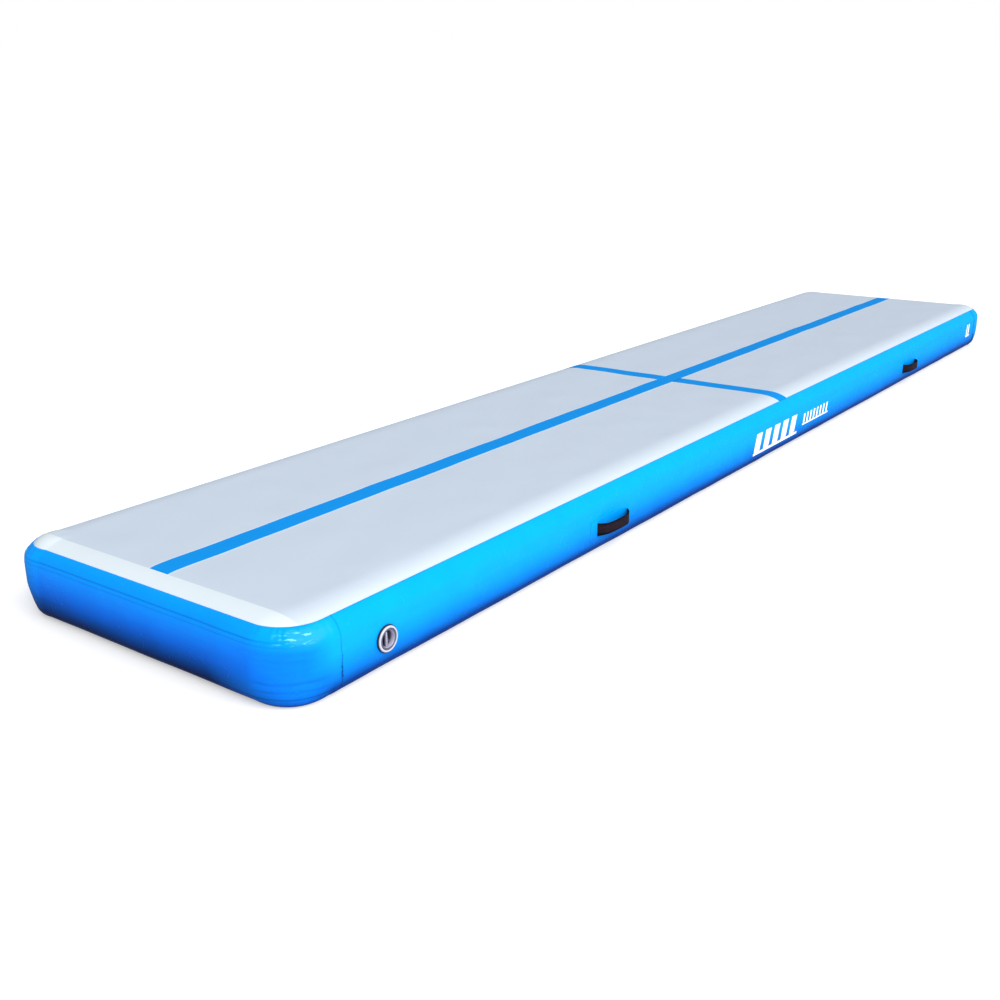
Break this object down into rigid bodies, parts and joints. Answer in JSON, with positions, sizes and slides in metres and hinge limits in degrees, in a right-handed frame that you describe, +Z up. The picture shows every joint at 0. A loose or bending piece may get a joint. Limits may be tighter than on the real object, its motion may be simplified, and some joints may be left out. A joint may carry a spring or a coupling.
{
  "type": "air track mat",
  "caption": "Long low inflatable tumbling mat with a light top, blue side wall, centre and cross stripes, carry straps and a dished-cap air valve.",
  "frame": {"origin": "middle of the flat underside, on the floor", "axes": "+X along the mat away from the valve end, +Z up, and the valve is on the -Y side"},
  "size_m": [5, 1.0598, 0.2009],
  "materials": {
    "top_face": "light blue-grey coated fabric with a fine cloth grain",
    "blue_wall": "semi-gloss bright blue coated fabric",
    "blue_tape": "semi-gloss blue coated fabric",
    "white_tape": "glossy white tape",
    "core_fabric": "coated base cloth",
    "yarn": "white polyester yarn",
    "webbing": "dark woven webbing",
    "valve_plastic": "light grey moulded plastic",
    "black_rubber": "matt black rubber",
    "steel": "bright steel",
    "white_print": "white print"
  },
  "bodies": {
    "mat": {"top_cover_sheet": "top_face", "bottom_cover_sheet": "blue_wall", "top_core_sheet": "core_fabric", "bottom_core_sheet": "core_fabric", "near_end_wall": "blue_wall", "far_end_wall": "blue_wall", "valve_side_wall": "blue_wall", "plain_side_wall": "blue_wall", "inner_side_band": "core_fabric", "valve_wall_patch": "blue_tape", "near_end_tape": "white_tape", "far_end_tape": "white_tape", "centre_stripe": "blue_tape", "cross_stripe_valve_side": "blue_tape", "cross_stripe_plain_side": "blue_tape", "side_print_bold": "white_print", "side_print_fine": "white_print", "side_print_end": "white_print", "valve_body": "valve_plastic", "valve_gasket": "black_rubber", "valve_inner_nut": "valve_plastic", "valve_spring": "steel", "drop_stitch_yarn_row_1": "yarn", "drop_stitch_yarn_row_2": "yarn", "drop_stitch_yarn_row_3": "yarn", "drop_stitch_yarn_row_4": "yarn", "drop_stitch_yarn_row_5": "yarn", "drop_stitch_yarn_row_6": "yarn", "drop_stitch_yarn_row_7": "yarn", "near_valve_side_seam_tape": "blue_tape", "near_plain_side_seam_tape": "blue_tape", "far_valve_side_seam_tape": "blue_tape", "far_plain_side_seam_tape": "blue_tape", "valve_side_near_handle_patch": "blue_tape", "valve_side_near_handle_near_strap_end": "webbing", "valve_side_near_handle_far_strap_end": "webbing", "valve_side_far_handle_patch": "blue_tape", "valve_side_far_handle_near_strap_end": "webbing", "valve_side_far_handle_far_strap_end": "webbing", "plain_side_near_handle_patch": "blue_tape", "plain_side_near_handle_near_strap_end": "webbing", "plain_side_near_handle_far_strap_end": "webbing", "plain_side_far_handle_patch": "blue_tape", "plain_side_far_handle_near_strap_end": "webbing", "plain_side_far_handle_far_strap_end": "webbing"},
    "valve_plunger": {"valve_button": "black_rubber", "valve_stem": "valve_plastic", "valve_seal_disc": "black_rubber", "valve_seal_plate": "valve_plastic"},
    "valve_spring_seat": {"valve_spring_washer": "steel"},
    "valve_cap": {"valve_cap": "valve_plastic"},
    "valve_cap_seal": {"valve_cap_seal_ring": "black_rubber"},
    "valve_side_near_handle": {"valve_side_near_handle_strap": "webbing"},
    "valve_side_far_handle": {"valve_side_far_handle_strap": "webbing"},
    "plain_side_near_handle": {"plain_side_near_handle_strap": "webbing"},
    "plain_side_far_handle": {"plain_side_far_handle_strap": "webbing"}
  },
  "joints": [
    {"name": "valve_side_near_handle_swing", "type": "hinge", "parent": "mat", "child": "valve_side_near_handle", "pos_m": [-1.24, -0.5011, 0.078], "axis": [-1, 0, 0], "range_deg": [-35, 35], "stiffness_Nm_per_rad": 0.05, "deforming": ["valve_side_near_handle_near_strap_end", "valve_side_near_handle_far_strap_end"]},
    {"name": "valve_side_far_handle_swing", "type": "hinge", "parent": "mat", "child": "valve_side_far_handle", "pos_m": [1.33, -0.5011, 0.078], "axis": [-1, 0, 0], "range_deg": [-35, 35], "stiffness_Nm_per_rad": 0.05, "deforming": ["valve_side_far_handle_near_strap_end", "valve_side_far_handle_far_strap_end"]},
    {"name": "plain_side_near_handle_swing", "type": "hinge", "parent": "mat", "child": "plain_side_near_handle", "pos_m": [-1.24, 0.5011, 0.078], "axis": [1, 0, 0], "range_deg": [-35, 35], "stiffness_Nm_per_rad": 0.05, "deforming": ["plain_side_near_handle_near_strap_end", "plain_side_near_handle_far_strap_end"]},
    {"name": "plain_side_far_handle_swing", "type": "hinge", "parent": "mat", "child": "plain_side_far_handle", "pos_m": [1.33, 0.5011, 0.078], "axis": [1, 0, 0], "range_deg": [-35, 35], "stiffness_Nm_per_rad": 0.05, "deforming": ["plain_side_far_handle_near_strap_end", "plain_side_far_handle_far_strap_end"]},
    {"name": "valve_cap_lift", "type": "slide", "parent": "mat", "child": "valve_cap_seal", "axis": [0, -1, 0], "range_m": [0, 0.02]},
    {"name": "valve_cap_twist", "type": "hinge", "parent": "valve_cap_seal", "child": "valve_cap", "pos_m": [-2.205, -0.5, 0.084], "axis": [0, -1, 0], "range_deg": [0, 90]},
    {"name": "valve_plunger_push", "type": "slide", "parent": "mat", "child": "valve_spring_seat", "axis": [0, 1, 0], "range_m": [0, 0.005], "stiffness_N_per_m": 800, "springref_m": -0.002, "deforming": ["valve_spring"]},
    {"name": "valve_plunger_lock_turn", "type": "hinge", "parent": "valve_spring_seat", "child": "valve_plunger", "pos_m": [-2.205, -0.5, 0.084], "axis": [0, 1, 0], "range_deg": [0, 90]}
  ]
}
